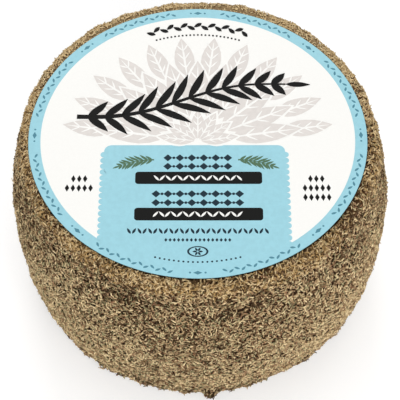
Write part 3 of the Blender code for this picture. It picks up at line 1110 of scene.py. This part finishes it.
class CHEESE_OT_label_paper(bpy.types.Operator):
    """Make the round white paper of the label"""

    bl_idname = "cheese.label_paper"
    bl_label = "Label paper"
    bl_options = {"REGISTER", "UNDO"}

    def execute(self, context):
        label = context.scene.cheese_label
        thickness = LABEL_HIGH.z - LABEL_LOW.z
        half = thickness / 2
        radii = np.linspace(0.0, label.radius - half, LABEL_RINGS)
        section = [(radius, 0.0) for radius in radii]
        for angle in np.radians((60, 30, 0, -30, -60)):
            section.append((label.radius - half + half * math.cos(angle), half * (math.sin(angle) - 1)))
        section += [(radius, -thickness) for radius in radii[::-1]]
        shape = turned_shape(section, LABEL_AROUND)
        lay_on_paper(shape, label)
        piece = object_from(shape, "label_paper")
        finish_piece(piece, self.material(label), PAPER_SLOT, LABEL_NODE)
        return {"FINISHED"}

    def material(self, label):
        """Smooth white paper with a faint fibre. The print's blue runs over its cut edge, darkened there as
        painted shade.
        """
        made, tree, shader = new_material("white_label_paper", 0.5, 0.35)
        place = add_node(tree, "TexCoord").outputs["Object"]
        fibre = mottled(tree, place, 900.0, label.paper, 0.985, 1.0)
        split = add_node(tree, "SeparateXYZ", Vector=place)
        squares = []
        for axis, middle in zip("XY", label_centre()):
            aside = calculate(tree, "SUBTRACT", split.outputs[axis], middle)
            squares.append(calculate(tree, "MULTIPLY", aside, aside))
        reach = calculate(tree, "SQRT", calculate(tree, "ADD", *squares))
        edge = ramp_between(tree, reach, *(label.radius - inset for inset in BLUE_EDGE))
        # The blue on the edge is darkened to three quarters: painted shade on the cut edge.
        blue_edge_with_painted_shade = mix_colours(tree, edge, fibre.outputs["Color"], rgba(label.blue, 0.75))
        dress(tree, shader, blue_edge_with_painted_shade, fibre.outputs["Height"], 0.15, 0.03 * MM)
        return made


# The print of the label, drawn in shares of the label's radius


def polar(reach, turn):
    """X and Y of a place at a distance and an angle in radians from the middle."""
    return reach * math.cos(turn), reach * math.sin(turn)


class Print:
    """Collects the flat shapes of one ink and turns them into a thin film that lies on the paper."""

    def __init__(self, label):
        self.label = label
        self.film = bmesh.new()
        self.count = 0

    def press(self, shape, layer):
        """Adds a flat shape, drawn in shares of the radius, as ink of a layer from 1 upwards."""
        size = self.label.radius
        bmesh.ops.scale(shape, verts=shape.verts, vec=(size, size, size))
        for axis in (Vector((1, 0, 0)), Vector((0, 1, 0))):
            reach = [corner.co.dot(axis) for corner in shape.verts]
            for line in range(math.ceil(min(reach) / INK_CUT), math.floor(max(reach) / INK_CUT) + 1):
                cut_across(shape, axis * line * INK_CUT, axis)
        bmesh.ops.translate(shape, verts=shape.verts, vec=(0, 0, -PAPER_SINK))
        grown = bmesh.ops.extrude_face_region(shape, geom=shape.faces[:])["geom"]
        top = [item for item in grown if isinstance(item, bmesh.types.BMVert)]
        rise = PAPER_SINK + layer * self.label.ink + (self.count % INK_STAGGERS) * INK_STAGGER
        bmesh.ops.translate(shape, verts=top, vec=(0, 0, rise))
        bmesh.ops.recalc_face_normals(shape, faces=shape.faces)
        holder = bpy.data.meshes.new("pressed_shape")
        shape.to_mesh(holder)
        shape.free()
        self.film.from_mesh(holder)
        bpy.data.meshes.remove(holder)
        self.count += 1

    def finish(self, name, material):
        """Lays the finished ink on the paper, as a piece."""
        lay_on_paper(self.film, self.label)
        finish_piece(object_from(self.film, name, smooth=False), material, PAPER_SLOT)

    def place(self, shape, x, y, angle, layer):
        """Turns a shape, moves it and presses it."""
        bmesh.ops.rotate(shape, verts=shape.verts, matrix=Matrix.Rotation(angle, 3, "Z"))
        bmesh.ops.translate(shape, verts=shape.verts, vec=(x, y, 0))
        self.press(shape, layer)

    def ring(self, inner, outer, layer):
        """A flat ring round the middle."""
        shape = bmesh.new()
        spin_line(shape, [(radius, 0) for radius in np.linspace(inner, outer, 4)], LABEL_AROUND)
        self.press(shape, layer)

    def dot(self, x, y, size, layer):
        """A round dot."""
        shape = bmesh.new()
        bmesh.ops.create_circle(shape, cap_ends=True, radius=size, segments=14)
        self.place(shape, x, y, 0.0, layer)

    def lozenge(self, x, y, long, wide, angle, layer):
        """A four-cornered lozenge."""
        shape = bmesh.new()
        bmesh.ops.create_circle(shape, cap_ends=True, radius=0.5, segments=4)
        bmesh.ops.scale(shape, verts=shape.verts, vec=(long, wide, 1))
        self.place(shape, x, y, angle, layer)

    def bar(self, x, y, long, high, layer, corner):
        """A bar with rounded corners, corner being the rounding as a share of its height."""
        shape = bmesh.new()
        bmesh.ops.create_grid(shape, x_segments=1, y_segments=1, size=0.5)
        bmesh.ops.scale(shape, verts=shape.verts, vec=(long, high, 1))
        round_corners(shape, shape.verts[:], high * corner * 0.98, 6)
        self.place(shape, x, y, 0.0, layer)

    def leaf(self, x, y, long, wide, angle, layer, belly=0.0):
        """A pointed leaf that starts at (x, y), widest a little before its middle, and bent by belly."""
        shape = bmesh.new()
        bmesh.ops.create_circle(shape, cap_ends=True, radius=0.5, segments=20)
        for corner in shape.verts:
            across = corner.co.y * wide * (1 - 0.75 * abs(corner.co.x * 2) ** 3) * (1 - 0.5 * corner.co.x)
            corner.co = ((corner.co.x + 0.5) * long, across + belly * long * (corner.co.x**2 - 0.25), 0)
        self.place(shape, x, y, angle, layer)

    def oval(self, x, y, half_long, half_high, line, layer):
        """A thin oval outline."""
        shape = bmesh.new()
        spin_line(shape, [(1 - line / half_high, 0), (1, 0)], 32)
        bmesh.ops.scale(shape, verts=shape.verts, vec=(half_long, half_high, 1))
        self.place(shape, x, y, 0.0, layer)

    def stem(self, route, thick, thin, layer):
        """A ribbon along a route, a function from 0 to 1 to a place, that tapers from thick to thin."""
        shape = bmesh.new()
        bmesh.ops.create_grid(shape, x_segments=36, y_segments=1, size=0.5)
        for corner in shape.verts:
            along = corner.co.x + 0.5
            here = route(along)
            slope = (route(min(1.0, along + 0.01)) - route(max(0.0, along - 0.01))).normalized()
            half = (thick + (thin - thick) * along) * corner.co.y
            corner.co = (here.x - slope.y * half, here.y + slope.x * half, 0)
        self.press(shape, layer)

    def sprig(self, route, pairs, long, wide, stem_thick, layer, spread):
        """A rosemary sprig: a tapering stem with pairs of narrow leaves and one at its tip."""
        self.stem(route, stem_thick, stem_thick * 0.35, layer)
        for pair in range(pairs):
            along = 0.05 + 0.88 * pair / (pairs - 1)
            here = route(along)
            slope = route(min(1.0, along + 0.01)) - route(max(0.0, along - 0.01))
            heading = math.atan2(slope.y, slope.x)
            size = long * (0.60 + 0.45 * math.sin(math.pi * min(1.0, along * 1.1)) - 0.12 * along)
            for side in (-1, 1):
                turn = math.radians(spread + 3 * math.sin(pair * 2.4 + side))
                self.leaf(here.x, here.y, size, wide, heading + side * turn, layer, belly=side * 0.12)
        tip = route(1.0)
        before = route(0.97)
        self.leaf(tip.x, tip.y, long * 0.6, wide * 0.8, math.atan2(tip.y - before.y, tip.x - before.x), layer)


def ink_material(name, tint, specular=0.35):
    """Printed ink: nearly even, with a faint mottle."""
    made, tree, shader = new_material(name, 0.45, specular)
    soft = mottled(tree, add_node(tree, "TexCoord").outputs["Object"], 420.0, tint, 0.96, 1.02)
    dress(tree, shader, soft.outputs["Color"], soft.outputs["Height"], 0.1, 0.02 * MM)
    return made


PANEL_LEFT = -0.549
PANEL_RIGHT = 0.512
PANEL_TOP = -0.073
PANEL_OUTER = 0.955
PANEL_ROUNDING = 0.045
SCALLOP = 0.021
SMALL_DOT = 0.006
# Rows of lozenges: Y, half width and count
PANEL_ROWS = ((-0.166, 0.175, 6), (-0.228, 0.175, 6), (-0.425, 0.240, 8), (-0.487, 0.240, 8))
STAMP_Y = -0.822  # middle of the small oval mark
BAR_ROWS = (-0.311, -0.567)
FAN_MIDDLE = (0.0, -0.045)
PAPER_MARGIN = 0.999  # where the ring's ink ends, as a share of the label's radius


class CHEESE_OT_label_fields(bpy.types.Operator):
    """Print the label's pale fields: the ring, the panel and the large grey leaves"""

    bl_idname = "cheese.label_fields"
    bl_label = "Pale fields of the label"
    bl_options = {"REGISTER", "UNDO"}

    def execute(self, context):
        label = context.scene.cheese_label
        blue = Print(label)
        blue.ring(label.ring, PAPER_MARGIN, 1)
        blue.press(self.panel(), 1)
        for edge in (PANEL_LEFT, PANEL_RIGHT):
            for row in range(16):
                blue.dot(edge, PANEL_TOP - 0.07 - 2 * SCALLOP * row, SCALLOP, 0.5)
        blue.finish("ink_pale_blue", ink_material("pale_blue_ink", label.blue))
        grey = Print(label)
        white = Print(label)
        self.fan(grey, white, 12, 0.50, 0.81, 0.120, 1)
        self.fan(grey, white, 11, 0.19, 0.62, 0.140, 3)
        self.fan(grey, white, 7, 0.02, 0.24, 0.080, 5)
        grey.finish("ink_warm_grey", ink_material("warm_grey_ink", label.grey))
        white.finish("ink_white_veins", ink_material("white_vein_ink", label.paper))
        return {"FINISHED"}

    def panel(self):
        """The panel in the lower middle, with round upper corners, whose foot runs into the ring."""
        shape = bmesh.new()
        bmesh.ops.create_circle(shape, cap_ends=True, radius=PANEL_OUTER, segments=LABEL_AROUND)
        cut_across(shape, (PANEL_LEFT, 0, 0), (-1, 0, 0), clear=True)
        cut_across(shape, (PANEL_RIGHT, 0, 0), (1, 0, 0), clear=True)
        cut_across(shape, (0, PANEL_TOP, 0), (0, 1, 0), clear=True)
        top = [corner for corner in shape.verts if corner.co.y > PANEL_TOP - 0.001]
        round_corners(shape, top, PANEL_ROUNDING, 8)
        return shape

    def fan(self, grey, white, leaves, start, end, wide, layer):
        """A half-round fan of large grey leaves with white veins, edged in white where they overlap."""
        long = end - start
        for count in range(leaves):
            angle = math.radians(9 + 162 * count / (leaves - 1))
            out_x, out_y = polar(1.0, angle)
            x = FAN_MIDDLE[0] + start * out_x
            y = FAN_MIDDLE[1] + start * out_y
            white.leaf(x, y, long + 0.02, wide + 0.026, angle, layer)
            grey.leaf(x, y, long, wide, angle, layer + 1)
            white.leaf(x, y, long * 0.94, wide * 0.11, angle, layer + 2)
            for vein in range(3):
                reach = long * (0.22 + 0.22 * vein)
                for lean in (-0.6, 0.6):
                    vein_at = (x + reach * out_x, y + reach * out_y)
                    white.leaf(*vein_at, wide * 0.60, wide * 0.075, angle + lean, layer + 2)


class CHEESE_OT_label_ornaments(bpy.types.Operator):
    """Print the label's ornaments: teal, dark blue, black, white and green"""

    bl_idname = "cheese.label_ornaments"
    bl_label = "Ornaments of the label"
    bl_options = {"REGISTER", "UNDO"}

    RING_GROUPS = 8
    RING_LEAVES = 14
    OVER = 8  # ink layers over the fan of leaves

    def execute(self, context):
        label = context.scene.cheese_label
        self.teal(label)
        self.navy(label)
        self.black(label)
        self.white(label)
        self.green(label)
        return {"FINISHED"}

    def garland(self, ink, radius, turns, long, wide, layer):
        """Small leaves along an arc, leaning in and out by turns."""
        for count, turn in enumerate(turns):
            side = 1 if count % 2 else -1
            middle = polar(radius + side * wide * 0.4, turn)
            self.centred_leaf(ink, middle, long, wide, turn + math.pi / 2 + side * 0.6, layer)

    def centred_leaf(self, ink, middle, long, wide, angle, layer):
        """A leaf with its middle at a place."""
        back_x, back_y = polar(long / 2, angle)
        ink.leaf(middle[0] - back_x, middle[1] - back_y, long, wide, angle, layer)

    def dots_on_arc(self, ink, radius, middle, count, layer):
        """Small dots along an arc."""
        for place in range(count):
            ink.dot(*polar(radius, middle + (place - (count - 1) / 2) * 0.030), SMALL_DOT, layer)

    def teal(self, label):
        """A garland of small leaves round the ring, with lozenges between its stretches."""
        ink = Print(label)
        middle = (label.ring + PAPER_MARGIN) / 2
        half = (self.RING_LEAVES - 1) / 2
        for group in range(self.RING_GROUPS):
            turn = 2 * math.pi * group / self.RING_GROUPS
            centre = turn + math.pi / self.RING_GROUPS
            turns = [centre + (place - half) * 0.036 for place in range(self.RING_LEAVES)]
            self.garland(ink, middle, turns, 0.034, 0.013, 2)
            ink.lozenge(*polar(middle, turn), 0.052, 0.024, turn + math.pi / 2, 2)
            for beside in (-0.045, 0.045):
                ink.dot(*polar(middle, turn + beside), SMALL_DOT, 2)
        ink.finish("ink_teal", ink_material("teal_ink", label.teal))

    def navy(self, label):
        """Rows of small ornaments on the panel."""
        ink = Print(label)
        for y, half, count in PANEL_ROWS:
            for place in range(count):
                x = -half + 2 * half * place / (count - 1)
                ink.lozenge(x, y, 0.052, 0.050, 0.0, 2)
                if place < count - 1:
                    ink.dot(x + half / (count - 1), y, 0.009, 2)
        for place in range(27):
            turn = math.radians(62 if place % 2 else 118)
            self.centred_leaf(ink, (-0.39 + 0.03 * place, -0.683), 0.044, 0.015, turn, 2)
        for place in range(16):
            ink.lozenge(-0.18 + 0.024 * place, -0.744, 0.018, 0.026, 0.0, 2)
        self.dots_on_arc(ink, 0.893, -math.pi / 2, 19, 2)
        ink.oval(0.0, STAMP_Y, 0.060, 0.036, 0.007, 2)
        for place in range(6):
            turn = math.pi / 3 * place
            x, y = polar(0.004, turn)
            ink.leaf(x, STAMP_Y + y, 0.026, 0.012, turn, 2)
        ink.finish("ink_dark_blue", ink_material("dark_blue_ink", label.navy, 0.15))

    def black(self, label):
        """The large sprig, the two bars, the marks at both sides and the garland at the top."""
        ink = Print(label)

        def route(along):
            """Rises to the right in a slow S."""
            x = -0.72 + 1.25 * along
            return Vector((x, 0.14 + 0.25 * along - 0.045 * math.sin(2 * math.pi * along), 0))

        ink.sprig(route, 12, 0.25, 0.047, 0.032, self.OVER, spread=43)
        for y in BAR_ROWS:
            ink.bar(0.005, y, 0.735, 0.088, 2, corner=0.22)
        for side, lines in ((-1, 2), (1, 3)):
            for line in range(lines):
                marks = 3 if line == 0 else 5
                for place in range(marks):
                    x = side * 0.686 + (place - (marks - 1) / 2) * 0.034
                    ink.lozenge(x, -0.318 - 0.066 * line, 0.026, 0.052, 0.0, 2)
        turns = [math.pi / 2 + (place - 7) * 0.050 for place in range(15)]
        self.garland(ink, 0.855, turns, 0.058, 0.026, self.OVER)
        self.dots_on_arc(ink, 0.785, math.pi / 2, 23, self.OVER)
        ink.finish("ink_black", ink_material("black_ink", label.black, 0.1))

    def white(self, label):
        """Small white leaves on the black bars."""
        ink = Print(label)
        for row, y in enumerate(BAR_ROWS):
            for place in range(15):
                turn = math.radians(50 if (place + row) % 2 else 130)
                self.centred_leaf(ink, (-0.24 + 0.48 * place / 14, y), 0.050, 0.013, turn, 4)
        ink.finish("ink_white", ink_material("white_ink", label.paper))

    def green(self, label):
        """Two small sprigs beside the upper rows of the panel."""
        ink = Print(label)
        for side in (-1, 1):

            def route(along, side=side):
                """From beside the rows outwards and a little downwards."""
                return Vector((side * (0.245 + 0.20 * along) - 0.01, -0.18 - 0.045 * along * along, 0))

            ink.sprig(route, 8, 0.075, 0.015, 0.010, 2, spread=38)
        ink.finish("ink_green", ink_material("green_ink", label.green))


# Camera, lights and floor

FLOOR_REACH = 12.0  # from its middle to its edges, in metres
WHITE = (1.0, 1.0, 1.0, 1.0)
LAMPS = (  # name, place, size, and the setting of its power
    ("lamp_above", (0.1, 0.6, 2.6), 1.6, "key"),
    ("lamp_front", (0.45, -2.4, 0.8), 3.0, "fill"),
    ("lamp_behind", (-0.3, 2.6, 1.2), 1.2, "rim"),
)
LAMP_TARGET = Vector((0, 0, 0.05))


def turn_to(thing, target):
    """Turns a lamp or a camera to face a place."""
    thing.rotation_euler = (target - thing.location).to_track_quat("-Z", "Y").to_euler()


class CHEESE_OT_stage(bpy.types.Operator):
    """Set up the pale floor, the soft lights and the camera"""

    bl_idname = "cheese.stage"
    bl_label = "Stage"
    bl_options = {"REGISTER", "UNDO"}

    def execute(self, context):
        scene = context.scene
        stage = scene.cheese_stage
        scene.view_settings.view_transform = "Standard"
        self.floor(stage)
        self.world(scene, stage)
        for name, place, size, power in LAMPS:
            self.lamp(name, place, size, getattr(stage, power))
        self.camera(scene, stage)
        return {"FINISHED"}

    def floor(self, stage):
        """A wide plain floor that glows a little, so that it stays pale round the foot."""
        shape = bmesh.new()
        bmesh.ops.create_grid(shape, x_segments=1, y_segments=1, size=FLOOR_REACH)
        floor = object_from(shape, "floor", smooth=False)
        made, tree, shader = new_material("pale_floor", 0.8, 0.1)
        shader.inputs["Base Color"].default_value = rgba(stage.floor)
        shader.inputs["Emission Color"].default_value = WHITE
        shader.inputs["Emission Strength"].default_value = stage.glow
        floor.data.materials.append(made)

    def world(self, scene, stage):
        """Even white light from all round."""
        world = bpy.data.worlds.new("studio")
        world.use_nodes = True
        background = world.node_tree.nodes["Background"]
        background.inputs["Color"].default_value = WHITE
        background.inputs["Strength"].default_value = stage.sky
        scene.world = world

    def lamp(self, name, place, size, power):
        """A square soft lamp that faces the wheel."""
        light = bpy.data.lights.new(name, "AREA")
        light.shape = "SQUARE"
        light.size = size
        light.energy = power
        lamp = linked_object(name, light)
        lamp.location = place
        turn_to(lamp, LAMP_TARGET)

    def camera(self, scene, stage):
        """The camera, in front and above."""
        view = bpy.data.cameras.new("camera")
        view.sensor_width = 36.0
        view.lens = stage.lens
        camera = linked_object("camera", view)
        back = Vector((0, -math.cos(stage.elevation), math.sin(stage.elevation)))
        up = Vector((0, math.sin(stage.elevation), math.cos(stage.elevation)))
        middle = Vector((0, 0, scene.cheese_wheel.height / 2))
        camera.location = middle + back * stage.distance
        turn_to(camera, middle + Vector((1, 0, 0)) * stage.aim_right - up * stage.aim_down)
        scene.camera = camera


class CHEESE_PT_panel(bpy.types.Panel):
    """Lists the steps that make the wheel"""

    bl_label = "Goat cheese wheel"
    bl_idname = "CHEESE_PT_panel"
    bl_space_type = "VIEW_3D"
    bl_region_type = "UI"
    bl_category = "Cheese"

    def draw(self, context):
        column = self.layout.column(align=True)
        for step in STEPS:
            column.operator(step.bl_idname)


SETTINGS = {
    "cheese_wheel": WheelSettings,
    "cheese_leaves": LeafSettings,
    "cheese_label": LabelSettings,
    "cheese_stage": StageSettings,
}
STEPS = (
    CHEESE_OT_under_crust,
    CHEESE_OT_leaf_coat,
    CHEESE_OT_golden_leaves,
    CHEESE_OT_leaf_crumbs,
    CHEESE_OT_label_paper,
    CHEESE_OT_label_fields,
    CHEESE_OT_label_ornaments,
    CHEESE_OT_stage,
)


def register():
    for group in SETTINGS.values():
        bpy.utils.register_class(group)
    for name, group in SETTINGS.items():
        setattr(bpy.types.Scene, name, PointerProperty(type=group))
    for step in STEPS:
        bpy.utils.register_class(step)
    bpy.utils.register_class(CHEESE_PT_panel)


def unregister():
    bpy.utils.unregister_class(CHEESE_PT_panel)
    for step in reversed(STEPS):
        bpy.utils.unregister_class(step)
    for name in SETTINGS:
        delattr(bpy.types.Scene, name)
    for group in reversed(SETTINGS.values()):
        bpy.utils.unregister_class(group)


def main():
    register()
    bpy.ops.cheese.under_crust()
    bpy.ops.cheese.leaf_coat()
    bpy.ops.cheese.golden_leaves()
    bpy.ops.cheese.leaf_crumbs()
    bpy.ops.cheese.label_paper()
    bpy.ops.cheese.label_fields()
    bpy.ops.cheese.label_ornaments()
    bpy.ops.cheese.stage()


if __name__ == "__main__":
    main()
